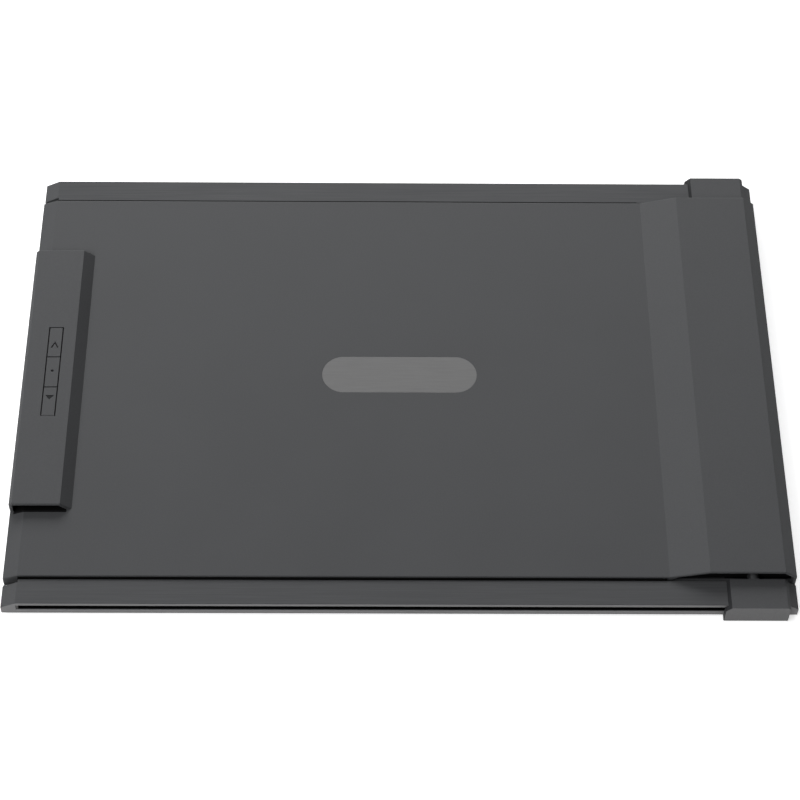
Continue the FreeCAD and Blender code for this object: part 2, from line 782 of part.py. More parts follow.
def make_display_stack():
    inset = fit_gap * 4
    level = fit_gap * 0
    make_sheet("display_cell", cell_bottom, film_bottom, level, level)
    make_sheet("optical_films", film_bottom, guide_bottom, inset, level)
    make_sheet("light_guide", guide_bottom, reflector_bottom, inset, led_width + fit_gap * 2)
    make_sheet("reflector_film", reflector_bottom, tray_bottom, inset, led_width + fit_gap * 2)


def make_tray():
    """The thin metal tray behind the display, with a folded rim."""
    tray = new_body("backlight_tray")
    length = module_half_length + tray_gauge + fit_gap
    width = module_half_width + tray_gauge + fit_gap
    prism(tray, "Pad", "XY_Plane", rectangle(-length, length, -width, width), film_bottom, tray_top)
    length = module_half_length + fit_gap
    width = module_half_width + fit_gap
    prism(tray, "Pocket", "XY_Plane", rectangle(-length, length, -width, width), film_bottom, tray_bottom)


def make_led_strip():
    """A strip of lights along the front edge of the light guide."""
    reach = module_half_length - 2
    front = fit_gap * 5 - module_half_width
    flex_top = guide_bottom + led_flex_gauge
    strip = box("led_flex", both_ways(reach), (front, front + led_width), (guide_bottom, flex_top))
    count = 24
    pitch = reach * 2 / count
    lights = [strip]
    for index in range(count):
        centre = pitch * (index + 0.5) - reach
        lights.append(box("led", (centre - led_half_length, centre + led_half_length),
                          (front + 0.5, front + led_width - 0.2), (flex_top, reflector_bottom)))
    finish(fuse("led_group", lights), "led_strip")


def make_foam_strips():
    """Foam strips that hold the display stack off the back cover."""
    strips = []
    for line in both_ways(foam_outer) + both_ways(foam_inner):
        strips.append(box("foam", (bar_crest_x + 14, spine_foot - 8),
                          (line - foam_half_width, line + foam_half_width), (tray_top, skin_under)))
    finish(group("foam_group", strips), "foam_strips")


# ---- screen: hinge clips and electronics -------------------------------------
def make_clip(label, side):
    """A leaf rolled round the rod, which grips it and holds the screen's angle."""
    clip = new_body(label)
    span = side_span(side, clip_inner, clip_inner + clip_length)
    discs(clip, "Pad", "XZ_Plane", [(axis_along, axis_height)], clip_outer, *span)
    leaf = rectangle(clip_end, axis_along, clip_roof - clip_leaf, clip_roof)
    prism(clip, "Pad", "XZ_Plane", leaf, *span)
    discs(clip, "Pocket", "XZ_Plane", [(axis_along, axis_height)], rod_radius + clip_gap, *span)
    holes = [(clip_screw_line, line if side > 0 else -line) for line in clip_places]
    discs(clip, "Pocket", "XY_Plane", holes, boss_bore + 0.1, clip_roof - clip_leaf, clip_roof)


def make_pan_screws(label, places, seat, reach):
    """Pan-head screws driven upwards, with their heads under the seat level."""
    screws = []
    for place in places:
        head = upright("pan_head", place, small_head_radius, seat - small_head_height, seat)
        stem = upright("pan_stem", place, small_screw_radius, seat, seat + reach)
        screws.append(driven_screw([head, stem], place, seat - small_head_height))
    finish(group(label + "_group", screws), label)


def make_main_board():
    board = new_body("main_board")
    outline = rectangle(board_left, board_right, -board_half_width, board_half_width)
    prism(board, "Pad", "XY_Plane", outline, board_floor, board_floor + board_gauge)
    discs(board, "Pocket", "XY_Plane", board_places, boss_bore + 0.1, board_floor,
          board_floor + board_gauge)


def make_chips():
    """Chips on the main board: reach from its left edge, share of its width, half sizes."""
    seat = board_floor + board_gauge
    chips = []
    for reach, share, half_x, half_y in ((13.4, -0.33, 6, 6), (13.4, 0.1, 4, 5), (16.4, 0.5, 3, 4),
                                         (11.4, -0.7, 3, 5), (20.4, 0.7, 2, 3)):
        centre = board_left + reach
        line = board_half_width * share
        chips.append(box("chip", (centre - half_x, centre + half_x), (line - half_y, line + half_y),
                         (seat, seat + 1.2)))
    finish(group("chip_group", chips), "board_chips")


def make_control_cable():
    """A flat cable from the main board, under the panel and up into the bar."""
    cable = new_body("control_cable")
    low = board_floor - 0.3
    rise = key_line + 4.6
    path = [
        (rise, low),
        (board_left - fit_gap, low),
        (board_left - fit_gap, low + cable_gauge),
        (rise + cable_gauge, low + cable_gauge),
        (rise + cable_gauge, control_floor),
        (rise, control_floor),
    ]
    prism(cable, "Pad", "XZ_Plane", path, -cable_half_width, cable_half_width)


# ---- screen: control bar -----------------------------------------------------
def make_control_bar():
    """The raised bar over the free end, hollow, with a window for the keys."""
    bar = new_body("control_bar")
    outside = [
        (-half_length, bar_floor),
        (ramp_run - half_length, panel_top),
        (bar_foot_x, panel_top),
        (bar_crest_x, bar_top),
        (bar_bevel_run - half_length, bar_top),
        (-half_length, bar_top - bar_bevel),
    ]
    prism(bar, "Pad", "XZ_Plane", outside, -bar_half_width, bar_half_width)
    rim_foot = (number(panel_top) + number(bar_floor)) / 2 + number(bar_bevel)

    def on_end_rims(edge):
        middle = edge.CenterOfMass
        return near(abs(middle.y), bar_half_width) and middle.z > rim_foot

    break_edges(bar, "Fillet", bar_edge, on_end_rims)
    prism(bar, "Pocket", "XZ_Plane", bar_inside(fit_gap * 0, bar_floor - 1), -bar_half_width,
          bar_half_width)
    reach = key_half_width + key_side_gap
    window = rectangle(key_line - reach, key_line + reach, key_window_front, key_window_rear)
    prism(bar, "Pocket", "XY_Plane", window, bar_under, bar_top)
    middle = port_floor + port_height / 2
    reach = port_half_width + 0.1
    mouth = rectangle(port_line - reach, port_line + reach, middle - port_height / 2 - 0.1,
                      middle + port_height / 2 + 0.1)
    prism(bar, "Pocket", "YZ_Plane", mouth, -half_length, bar_wall - half_length)


def bar_inside(shrink, floor):
    """The inner outline of the bar, a little smaller for its end caps."""
    return [
        (bar_wall - half_length + shrink, floor),
        (bar_wall - half_length + shrink, bar_under - shrink),
        (bar_crest_x - 0.6 - shrink, bar_under - shrink),
        (bar_foot_x - 1.9 - shrink, panel_top + shrink),
        (bar_foot_x - 1.9 - shrink, floor),
    ]


def make_bar_cap(label, side):
    """The recessed wall that closes one end of the bar."""
    cap = new_body(label)
    outer = bar_half_width - bar_recess
    outline = [
        (bar_wall - half_length + fit_gap, bar_floor + 0.65),
        (ramp_run - half_length, panel_top + 0.02),
        (bar_foot_x - 2.1, panel_top + 0.02),
        (bar_crest_x - 0.7, bar_under - fit_gap),
        (bar_wall - half_length + fit_gap, bar_under - fit_gap),
    ]
    prism(cap, "Pad", "XZ_Plane", outline, *side_span(side, outer - cap_gauge, outer))


def make_control_board():
    board = new_body("control_board")
    left = port_depth - half_length + 0.1
    outline = rectangle(left, bar_foot_x - 3.2, -control_half_width, control_half_width)
    prism(board, "Pad", "XY_Plane", outline, control_floor, control_top)


def make_switches():
    """One small push switch under each key."""
    switches = []
    for step in (-1, 0, 1):
        line = key_pitch * step
        case = box("switch_case", (key_line - 1.7, key_line + 1.7), (line - 1.6, line + 1.6),
                   (control_top, control_top + 0.5))
        stem = upright("switch_stem", (key_line, line), switch_stem_radius, control_top + 0.5,
                       control_top + 0.65)
        switches.append(fuse("switch", [case, stem]))
    finish(group("switch_group", switches), "button_switches")


def make_port():
    """The power and video socket in the outer face of the bar, with its tongue."""
    port = new_body("usb_c_socket")
    back = port_depth - half_length
    low = port_floor
    high = port_floor + port_height
    case = rectangle(port_line - port_half_width, port_line + port_half_width, low, high)
    prism(port, "Pad", "YZ_Plane", case, fit_gap - half_length, back)

    def on_long_edges(edge):
        middle = edge.CenterOfMass
        at_corner = near(middle.z, low) or near(middle.z, high)
        return at_corner and abs(edge.tangentAt(edge.FirstParameter).x) > 0.9

    break_edges(port, "Fillet", port_corner, on_long_edges)
    mouth = rectangle(port_line - port_half_width + port_wall + 0.9,
                      port_line + port_half_width - port_wall - 0.9, low + port_wall, high - port_wall)
    prism(port, "Pocket", "YZ_Plane", mouth, fit_gap - half_length, back - 1)
    sides = rectangle(port_line - port_half_width + port_wall, port_line + port_half_width - port_wall,
                      low + 0.8, high - 0.8)
    prism(port, "Pocket", "YZ_Plane", sides, fit_gap - half_length, back - 1)
    middle = port_floor + port_height / 2
    tongue = rectangle(port_line - 3.3, port_line + 3.3, middle - 0.35, middle + 0.35)
    prism(port, "Pad", "YZ_Plane", tongue, fit_gap * 8 - half_length, back - 0.9)


def make_key(label, front, rear, mark):
    """One key of the bar: its cap stands in the window, its flange holds it in."""
    key = new_body(label)
    low = front + key_gap
    high = rear - key_gap
    flange = rectangle(key_line - key_half_width - key_flange, key_line + key_half_width + key_flange,
                       low, high)
    prism(key, "Pad", "XY_Plane", flange, bar_under - 0.8, bar_under - 0.05)
    cap = rectangle(key_line - key_half_width, key_line + key_half_width, low, high)
    prism(key, "Pad", "XY_Plane", cap, bar_under - fit_gap, bar_top)

    def on_top(edge):
        return near(edge.CenterOfMass.z, bar_top)

    break_edges(key, "Fillet", key_edge, on_top)
    floor = bar_top - mark_depth
    if mark:
        prism(key, "Pocket", "XY_Plane", mark, floor, bar_top)
    else:
        discs(key, "Pocket", "XY_Plane", [(key_line, dot_line)], mark_stroke, floor, bar_top)


def up_mark():
    """An open chevron that points to the rear."""
    foot = chevron_apex - chevron_height
    inner_foot = foot - mark_stroke * 0.4
    return [
        (key_line - chevron_half_width, foot),
        (key_line, chevron_apex),
        (key_line + chevron_half_width, foot),
        (key_line + chevron_half_width - mark_stroke, inner_foot),
        (key_line, chevron_apex - mark_stroke * 2),
        (key_line - chevron_half_width + mark_stroke, inner_foot),
    ]


def down_mark():
    """A solid triangle that points to the front."""
    return [
        (key_line - triangle_half_width, triangle_top),
        (key_line, triangle_top - triangle_height),
        (key_line + triangle_half_width, triangle_top),
    ]


# ---- build every piece ---------------------------------------------------------
sides = (("front", -1), ("rear", 1))
for side_name, side_sign in sides:
    make_rail("rail_" + side_name, side_sign)
make_plate()
make_plate_screws()
make_magnets()
make_mount_pads()
make_slide_bumpers()
for side_name, side_sign in sides:
    make_block("carriage_block_" + side_name, side_sign)
    make_glide("slot_glide_" + side_name, side_sign)
make_rod()
make_back_cover()
make_bezel()
make_bumpers()
make_inlay()
make_display_stack()
make_tray()
make_led_strip()
make_foam_strips()
for side_name, side_sign in sides:
    make_spine_cap("spine_end_cap_" + side_name, side_sign)
    make_clip("friction_clip_" + side_name, side_sign)
    make_bar_cap("bar_end_cap_" + side_name, side_sign)
clip_screw_places = screw_places([clip_screw_line], clip_places[0])
clip_screw_places += screw_places([clip_screw_line], clip_places[1])
make_pan_screws("clip_screws", clip_screw_places, clip_roof - clip_leaf, clip_leaf + 1.6)
make_main_board()
make_chips()
make_pan_screws("board_screws", board_places, board_floor, board_gauge + 1.4)
make_control_cable()
make_control_bar()
make_control_board()
make_switches()
make_port()
rear_split = key_middle + key_split
front_split = key_middle - key_split
make_key("button_up", rear_split, key_window_rear - key_end_gap, up_mark())
make_key("button_menu", front_split, rear_split, None)
make_key("button_down", key_window_front, front_split, down_mark())
doc.recompute()

# ---- check the document, then write every piece --------------------------------
problems = []
for item in doc.Objects:
    if "Invalid" in item.State or "Error" in item.State:
        problems.append(item.Label + " failed to build")
    if item.TypeId == "PartDesign::Pocket":
        removed = item.BaseFeature.Shape.Volume - item.Shape.Volume if item.BaseFeature else 0
        if removed < 0.001:
            problems.append(item.Label + " cuts nothing in " + item.getParent().Label)
for node in nodes:
    if node.Shape.isNull() or not node.Shape.isValid():
        problems.append(node.Label + " has no valid shape")
if problems:
    raise RuntimeError("; ".join(problems))
os.makedirs("parts", exist_ok=True)
for node in nodes:
    node.Shape.exportStep("parts/" + node.Label + ".step")
print("wrote", len(nodes), "nodes")
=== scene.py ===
import json
import math

import bmesh
import bpy
from mathutils import Matrix, Vector


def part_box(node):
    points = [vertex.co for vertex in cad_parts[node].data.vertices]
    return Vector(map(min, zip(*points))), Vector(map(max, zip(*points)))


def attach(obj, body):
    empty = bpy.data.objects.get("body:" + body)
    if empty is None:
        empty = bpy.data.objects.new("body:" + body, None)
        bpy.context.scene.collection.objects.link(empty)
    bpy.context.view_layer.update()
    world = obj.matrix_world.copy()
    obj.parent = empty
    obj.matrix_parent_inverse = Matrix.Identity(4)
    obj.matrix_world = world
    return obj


# Looks of a slide-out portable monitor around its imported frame. Metres, +Z up.

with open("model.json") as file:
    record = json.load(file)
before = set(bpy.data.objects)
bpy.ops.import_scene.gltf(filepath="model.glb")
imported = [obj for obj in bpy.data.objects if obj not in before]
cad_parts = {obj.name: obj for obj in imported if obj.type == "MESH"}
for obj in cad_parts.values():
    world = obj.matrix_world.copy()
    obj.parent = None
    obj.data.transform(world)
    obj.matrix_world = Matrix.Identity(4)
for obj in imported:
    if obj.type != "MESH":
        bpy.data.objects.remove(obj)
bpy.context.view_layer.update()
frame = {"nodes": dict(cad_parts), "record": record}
record = frame["record"]
MM = 0.001


# ---- camera, world and lights -------------------------------------------------
CAMERA_DISTANCE = 0.9477
CAMERA_ELEVATION = math.radians(55.11)
CAMERA_TURN = math.radians(1.046)
CAMERA_ROLL = math.radians(1.068)
CAMERA_LENS = 102.75
CAMERA_SENSOR = 36
CAMERA_AIM = Vector((0.28, -5.02, 1.6)) * MM


def make_camera():
    """A long lens above and in front, turned and rolled by about one degree."""
    level = math.cos(CAMERA_ELEVATION)
    forward = Vector((math.sin(CAMERA_TURN) * level, math.cos(CAMERA_TURN) * level,
                      -math.sin(CAMERA_ELEVATION)))
    flat_right = Vector((math.cos(CAMERA_TURN), -math.sin(CAMERA_TURN), 0))
    flat_up = flat_right.cross(forward)
    right = flat_right * math.cos(CAMERA_ROLL) + flat_up * math.sin(CAMERA_ROLL)
    up = flat_up * math.cos(CAMERA_ROLL) - flat_right * math.sin(CAMERA_ROLL)
    turn = Matrix((right, up, -forward)).transposed().to_4x4()
    data = bpy.data.cameras.new("camera")
    data.lens = CAMERA_LENS
    data.sensor_width = CAMERA_SENSOR
    camera = bpy.data.objects.new("camera", data)
    place = CAMERA_AIM - forward * CAMERA_DISTANCE
    camera.matrix_world = Matrix.Translation(place) @ turn
    bpy.context.collection.objects.link(camera)
    bpy.context.scene.camera = camera


SKY_TINT = (0.97, 0.98, 1.0, 1)
SKY_STRENGTH = 0.1


def make_world():
    """A faint, even sky and plain display colours."""
    world = bpy.data.worlds.new("studio")
    world.use_nodes = True
    backdrop = world.node_tree.nodes["Background"]
    backdrop.inputs["Color"].default_value = SKY_TINT
    backdrop.inputs["Strength"].default_value = SKY_STRENGTH
    bpy.context.scene.world = world
    bpy.context.scene.view_settings.view_transform = "Standard"


# name, place, width, height and power of each soft light
SOFTBOXES = (
    ("back_softbox", (0, 1.5, 1.6), 2.6, 1.8, 6),
    ("back_low_softbox", (-0.3, 2.2, 1.2), 2.6, 1.2, 69),
    ("left_front_softbox", (-1.5, -0.9, 1.4), 2.0, 1.0, 36.5),
)


def make_lights():
    """Large soft lights, all aimed at the middle of the floor."""
    for name, place, width, height, power in SOFTBOXES:
        data = bpy.data.lights.new(name, "AREA")
        data.shape = "RECTANGLE"
        data.size = width
        data.size_y = height
        data.energy = power
        light = bpy.data.objects.new(name, data)
        light.location = place
        light.rotation_mode = "QUATERNION"
        light.rotation_quaternion = (-Vector(place)).to_track_quat("-Z", "Y")
        bpy.context.collection.objects.link(light)


# ---- node helpers -------------------------------------------------------------
# the usual range of a noise texture's values
NOISE_LOW = 0.3
NOISE_HIGH = 0.7
# how far the rounded and the true normal agree, on an edge and just off it
EDGE_SHARP = 0.86
EDGE_FLAT = 0.995
# the colour sockets of a mix node
MIX_FACTOR, MIX_FIRST, MIX_SECOND, MIX_RESULT = 0, 6, 7, 2
BEVEL_SAMPLES = 6
WEAR_PATCH = 4 * MM
# the normal's X on a slope that looks left, and on one that hardly does
LEFT_SLOPE, LEFT_LEVEL = -0.6, -0.4


def scaled(colour, factor):
    return tuple(channel * factor for channel in colour)


class Shade:
    """One procedural material and the few node shapes that all materials share."""

    def __init__(self, name):
        self.material = bpy.data.materials.new(name)
        self.material.use_nodes = True
        self.tree = self.material.node_tree
        self.surface = self.tree.nodes["Principled BSDF"]
        self.place = self.node("ShaderNodeTexCoord").outputs["Object"]
        self.normal = None

    def node(self, kind, **values):
        item = self.tree.nodes.new(kind)
        for key, value in values.items():
            setattr(item, key, value)
        return item

    def link(self, source, target):
        self.tree.links.new(source, target)

    def fix(self, sockets):
        """Set constants straight on the surface shader's own sockets."""
        for name, value in sockets.items():
            self.surface.inputs[name].default_value = value

    def texture(self, kind, pitch, **values):
        """A texture node in object coordinates that repeats about every pitch metres."""
        item = self.node(kind, **values)
        item.inputs["Scale"].default_value = 1 / pitch
        self.link(self.place, item.inputs["Vector"])
        return item

    def noise(self, size, detail=2.0, stretch=(1, 1, 1)):
        """Smooth noise whose features are about size metres wide."""
        mapping = self.node("ShaderNodeMapping")
        mapping.inputs["Scale"].default_value = stretch
        self.link(self.place, mapping.inputs["Vector"])
        texture = self.node("ShaderNodeTexNoise")
        texture.inputs["Scale"].default_value = 1 / size
        texture.inputs["Detail"].default_value = detail
        self.link(mapping.outputs["Vector"], texture.inputs["Vector"])
        return texture.outputs["Fac"]

    def spread(self, source, low, high, start=NOISE_LOW, end=NOISE_HIGH):
        """Map a value from the range start to end onto the range low to high."""
        item = self.node("ShaderNodeMapRange")
        item.inputs["From Min"].default_value = start
        item.inputs["From Max"].default_value = end
        item.inputs["To Min"].default_value = low
        item.inputs["To Max"].default_value = high
        self.link(source, item.inputs["Value"])
        return item.outputs["Result"]

    def tones(self, source, stops):
        """A colour ramp with two (position, colour) stops."""
        item = self.node("ShaderNodeValToRGB")
        for element, (position, colour) in zip(item.color_ramp.elements, stops):
            element.position = position
            element.color = (*colour, 1)
        self.link(source, item.inputs["Fac"])
        return item.outputs["Color"]

    def shades_of(self, source, colour, low, high, start=NOISE_LOW, end=NOISE_HIGH):
        """One colour, from low to high times its brightness as source rises."""
        return self.tones(source, [(start, scaled(colour, low)), (end, scaled(colour, high))])

    def mix(self, factor, first, second):
        """Blend two colours; factor and second are sockets or plain values."""
        item = self.node("ShaderNodeMix", data_type="RGBA")
        if isinstance(factor, float):
            item.inputs[MIX_FACTOR].default_value = factor
        else:
            self.link(factor, item.inputs[MIX_FACTOR])
        self.link(first, item.inputs[MIX_FIRST])
        if isinstance(second, tuple):
            item.inputs[MIX_SECOND].default_value = (*second, 1)
        else:
            self.link(second, item.inputs[MIX_SECOND])
        return item.outputs[MIX_RESULT]

    def product(self, first, second):
        item = self.node("ShaderNodeMath", operation="MULTIPLY")
        self.link(first, item.inputs[0])
        self.link(second, item.inputs[1])
        return item.outputs["Value"]

    def along(self, axis, source):
        """One coordinate of a position or normal."""
        split = self.node("ShaderNodeSeparateXYZ")
        self.link(source, split.inputs["Vector"])
        return split.outputs[axis]

    def facing(self, axis):
        """One coordinate of the surface's normal, in object space."""
        return self.along(axis, self.node("ShaderNodeTexCoord").outputs["Normal"])

    def rounded_normal(self, radius):
        bevel = self.node("ShaderNodeBevel", samples=BEVEL_SAMPLES)
        bevel.inputs["Radius"].default_value = radius
        return bevel.outputs["Normal"]

    def soften_edges(self, radius):
        """Round the shading of every hard edge."""
        self.normal = self.rounded_normal(radius)

    def worn_edges(self, radius, limit):
        """A value that rises to limit on hard edges, broken up by noise."""
        agreement = self.node("ShaderNodeVectorMath", operation="DOT_PRODUCT")
        true_normal = self.node("ShaderNodeNewGeometry").outputs["Normal"]
        self.link(self.rounded_normal(radius), agreement.inputs[0])
        self.link(true_normal, agreement.inputs[1])
        edge = self.spread(agreement.outputs["Value"], limit, 0.0, EDGE_SHARP, EDGE_FLAT)
        patch = self.spread(self.noise(WEAR_PATCH, 3), 0.35, 1.0)
        return self.product(edge, patch)

    def outward(self, low, high):
        """A value that rises from 0 to 1 on outward faces between low and high metres along Y."""
        reach = self.product(self.facing("Y"), self.along("Y", self.place))
        return self.spread(reach, 0.0, 1.0, low, high)

    def leftward(self):
        """A value that is 1 on slopes that look towards -X."""
        return self.spread(self.facing("X"), 1.0, 0.0, LEFT_SLOPE, LEFT_LEVEL)

    def depth_below(self, top, bottom):
        """A value that rises from 0 at one height to 1 at a lower one."""
        return self.spread(self.along("Z", self.place), 1.0, 0.0, bottom, top)

    def bump(self, source, depth):
        """Raise the surface by a value, on top of any earlier bump or softening."""
        item = self.node("ShaderNodeBump")
        item.inputs["Distance"].default_value = depth
        self.link(source, item.inputs["Height"])
        if self.normal is not None:
            self.link(self.normal, item.inputs["Normal"])
        self.normal = item.outputs["Normal"]

    def done(self, colour, roughness):
        """Wire up the surface shader and hand over the material."""
        self.link(colour, self.surface.inputs["Base Color"])
        self.link(roughness, self.surface.inputs["Roughness"])
        if self.normal is not None:
            self.link(self.normal, self.surface.inputs["Normal"])
        return self.material


# ---- materials ----------------------------------------------------------------
# distance from the middle, along Y, over which outward faces take a painted highlight, paler as
# if lit by the white floor
HIGHLIGHT_BAND = (0.099, 0.1015)
# painted shade: the black of the keys' sides below a height, and how quickly it fades in
GAP_SHADE_BLACK = (0.002, 0.002, 0.002)
GAP_SHADE_FADE = 0.15 * MM
SURFACE_IOR = 1.5


def moulded_plastic(name, colour, roughness, grain=0.55 * MM, depth=0.006 * MM, wear=0.35,
                    gloss=0.15, side=None, shaded_below=None, left_slope_shade=None):
    """Moulded plastic: spark-eroded grain, faint handling marks, paler edges.

    side is the tone of a painted highlight on outward faces, shaded_below is the height
    below which painted shade turns the sides black, and left_slope_shade is the tone of
    painted shade on slopes that look left.
    """
    shade = Shade(name)
    shade.fix({"Metallic": 0.0, "IOR": SURFACE_IOR, "Specular IOR Level": gloss})
    fine = shade.noise(grain, 2)
    broad = shade.noise(45 * MM, 4)
    tone = shade.shades_of(fine, colour, 0.90, 1.10)
    cloud = shade.shades_of(broad, colour, 0.94, 1.05, 0.35, 0.65)
    edge = shade.worn_edges(0.35 * MM, wear)
    finished = shade.mix(edge, shade.mix(0.5, tone, cloud), scaled(colour, 1.9))
    # painted highlight: outward faces turn paler, standing in for the floor's reflection
    if side:
        painted_highlight = shade.shades_of(fine, side, 0.93, 1.07)
        finished = shade.mix(shade.outward(*HIGHLIGHT_BAND), finished, painted_highlight)
    # painted shade on slopes that look left
    if left_slope_shade:
        finished = shade.mix(shade.leftward(), finished, left_slope_shade)
    # painted shade: the sides below this height turn black, for the shade in the gaps between
    # keys
    if shaded_below:
        gap_shade = shade.depth_below(shaded_below, shaded_below - GAP_SHADE_FADE)
        finished = shade.mix(gap_shade, finished, GAP_SHADE_BLACK)
    shade.soften_edges(0.18 * MM)
    shade.bump(fine, depth)
    shade.bump(shade.noise(3.5 * MM, 2), depth)
    return shade.done(finished, shade.spread(broad, roughness - 0.02, roughness + 0.03))


def anodised_metal(name, colour, roughness, stretch=(0.02, 1, 1), side=None):
    """Extruded, blasted and anodised aluminium with faint die lines along its length."""
    shade = Shade(name)
    shade.fix({"Metallic": 0.0, "IOR": SURFACE_IOR, "Specular IOR Level": 0.15})
    lines = shade.noise(0.5 * MM, 2, stretch)
    blast = shade.noise(0.4 * MM, 2)
    broad = shade.noise(60 * MM, 3)
    tone = shade.shades_of(lines, colour, 0.92, 1.08)
    edge = shade.worn_edges(0.3 * MM, 0.45)
    finished = shade.mix(edge, tone, scaled(colour, 2.2))
    # painted highlight: outward faces turn paler, standing in for the floor's reflection
    if side:
        painted_highlight = shade.shades_of(lines, side, 0.93, 1.07)
        finished = shade.mix(shade.outward(*HIGHLIGHT_BAND), finished, painted_highlight)
    shade.soften_edges(0.15 * MM)
    shade.bump(lines, 0.004 * MM)
    shade.bump(blast, 0.004 * MM)
    return shade.done(finished, shade.spread(broad, roughness - 0.05, roughness + 0.07))


def soft_rubber(name, colour):
    """Matte rubber with a coarse open grain and a dusty bloom."""
    shade = Shade(name)
    shade.fix({"Metallic": 0.0, "Sheen Weight": 0.15, "Sheen Roughness": 0.6})
    grain = shade.noise(0.6 * MM, 5)
    dust = shade.noise(9 * MM, 4)
    tone = shade.shades_of(dust, colour, 0.8, 1.8, 0.35, 0.75)
    shade.soften_edges(0.2 * MM)
    shade.bump(grain, 0.03 * MM)
    return shade.done(tone, shade.spread(grain, 0.72, 0.95))


def ground_steel(name, colour, roughness, stretch=(0.03, 1, 1)):
    """Steel or plated metal with grinding marks along one direction."""
    shade = Shade(name)
    shade.fix({"Metallic": 1.0})
    marks = shade.noise(0.25 * MM, 3, stretch)
    stain = shade.noise(6 * MM, 4)
    tone = shade.shades_of(stain, colour, 0.85, 1.08)
    shade.soften_edges(0.08 * MM)
    shade.bump(marks, 0.003 * MM)
    return shade.done(tone, shade.spread(marks, roughness - 0.08, roughness + 0.12))


def dark_glass(name):
    """The switched-off display: black under a fine anti-glare coat."""
    shade = Shade(name)
    shade.fix({"Metallic": 0.0, "IOR": 1.52, "Coat Weight": 0.25, "Coat Roughness": 0.12})
    glare = shade.noise(0.35 * MM, 2)
    depth = shade.noise(80 * MM, 2)
    tone = shade.tones(depth, [(NOISE_LOW, (0.0045, 0.005, 0.007)),
                               (NOISE_HIGH, (0.008, 0.009, 0.013))])
    shade.bump(glare, 0.0015 * MM)
    return shade.done(tone, shade.spread(glare, 0.22, 0.34))


def milky_sheet(name, colour, roughness):
    """A diffusing or reflecting film, slightly uneven in tone."""
    shade = Shade(name)
    shade.fix({"Metallic": 0.0, "Subsurface Weight": 0.05})
    cloud = shade.noise(20 * MM, 3)
    tone = shade.shades_of(cloud, colour, 0.95, 1.0)
    shade.bump(shade.noise(0.5 * MM, 2), 0.002 * MM)
    return shade.done(tone, shade.spread(cloud, roughness - 0.04, roughness + 0.04))


def acrylic_guide(name):
    """The acrylic light guide with its printed dot field."""
    shade = Shade(name)
    shade.fix({"Metallic": 0.0, "Transmission Weight": 0.6, "IOR": 1.49})
    dots = shade.texture("ShaderNodeTexVoronoi", 1.2 * MM, feature="F1")
    dots.inputs["Randomness"].default_value = 0.1
    reach = dots.outputs["Distance"]
    tone = shade.tones(reach, [(0.25, (0.95, 0.97, 1.0)), (0.35, (0.78, 0.84, 0.88))])
    return shade.done(tone, shade.spread(reach, 0.4, 0.08, 0.2, 0.4))


COPPER_GOLD = (0.62, 0.42, 0.16)


def circuit_laminate(name, mask):
    """Solder mask over copper: routed tracks, vias and bare pads."""
    shade = Shade(name)
    shade.fix({"Metallic": 0.0, "Coat Weight": 0.3, "Coat Roughness": 0.2})
    tracks = shade.texture("ShaderNodeTexBrick", 6 * MM)
    tracks.inputs["Mortar Size"].default_value = 0.03
    for socket, factor in (("Color1", 1.0), ("Color2", 0.85), ("Mortar", 2.1)):
        tracks.inputs[socket].default_value = (*scaled(mask, factor), 1)
    vias = shade.texture("ShaderNodeTexVoronoi", 2.4 * MM, feature="F1")
    pad = shade.spread(vias.outputs["Distance"], 1.0, 0.0, 0.12, 0.16)
    finished = shade.mix(pad, tracks.outputs["Color"], COPPER_GOLD)
    shade.bump(tracks.outputs["Fac"], 0.02 * MM)
    return shade.done(finished, shade.spread(shade.noise(8 * MM, 3), 0.28, 0.42))


def polyimide_film(name):
    """Amber flat cable with copper conductors showing through as bands."""
    shade = Shade(name)
    shade.fix({"Metallic": 0.0, "Coat Weight": 0.5, "Coat Roughness": 0.15})
    bands = shade.texture("ShaderNodeTexWave", 3.1 * MM, wave_type="BANDS", bands_direction="Y")
    level = bands.outputs["Fac"]
    tone = shade.tones(level, [(0.35, (0.30, 0.13, 0.02)), (0.6, (0.48, 0.24, 0.06))])
    shade.bump(level, 0.02 * MM)
    return shade.done(tone, shade.spread(shade.noise(5 * MM, 3), 0.25, 0.4))


def foil_inlay(name, colour):
    """A plain pressed foil inlay with fine lines across it."""
    shade = Shade(name)
    shade.fix({"Metallic": 0.0, "Specular IOR Level": 0.2})
    lines = shade.noise(0.35 * MM, 2, (0.03, 1, 1))
    cloud = shade.noise(15 * MM, 3)
    tone = shade.shades_of(lines, colour, 0.94, 1.06)
    shade.soften_edges(0.12 * MM)
    shade.bump(lines, 0.003 * MM)
    return shade.done(tone, shade.spread(cloud, 0.38, 0.48))


def led_tape(name):
    """White flexible strip with amber phosphor over each light."""
    shade = Shade(name)
    shade.fix({"Metallic": 0.0})
    cells = shade.texture("ShaderNodeTexWave", 78.6 * MM, wave_type="BANDS", bands_direction="X")
    tone = shade.tones(cells.outputs["Fac"],
                       [(0.45, (0.82, 0.8, 0.74)), (0.6, (0.85, 0.62, 0.12))])
    return shade.done(tone, shade.spread(shade.noise(3 * MM, 3), 0.35, 0.5))


HOUSING_GREY = (0.0660, 0.0676, 0.0706)
BLOCK_GREY = (0.0680, 0.0694, 0.0724)
RAIL_GREY = (0.0666, 0.0682, 0.0712)
# paler tones painted on outward faces as a painted highlight of the floor's reflection
OUTWARD_HIGHLIGHT_GREY = (0.134, 0.134, 0.136)
BLOCK_HIGHLIGHT_GREY = scaled(OUTWARD_HIGHLIGHT_GREY, 0.86)
RAIL_HIGHLIGHT_GREY = scaled(OUTWARD_HIGHLIGHT_GREY, 1.22)
# painted shade for the block's slopes that look left
LEFT_SLOPE_SHADE = (0.020, 0.0205, 0.022)
KEY_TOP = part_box("button_menu")[1].z
# how far below the key tops the sides are painted black as shade
KEY_SHADE_DEPTH = 0.2 * MM
ALONG_Y = (1, 0.03, 1)
ALL_ROUND = (1, 1, 1)

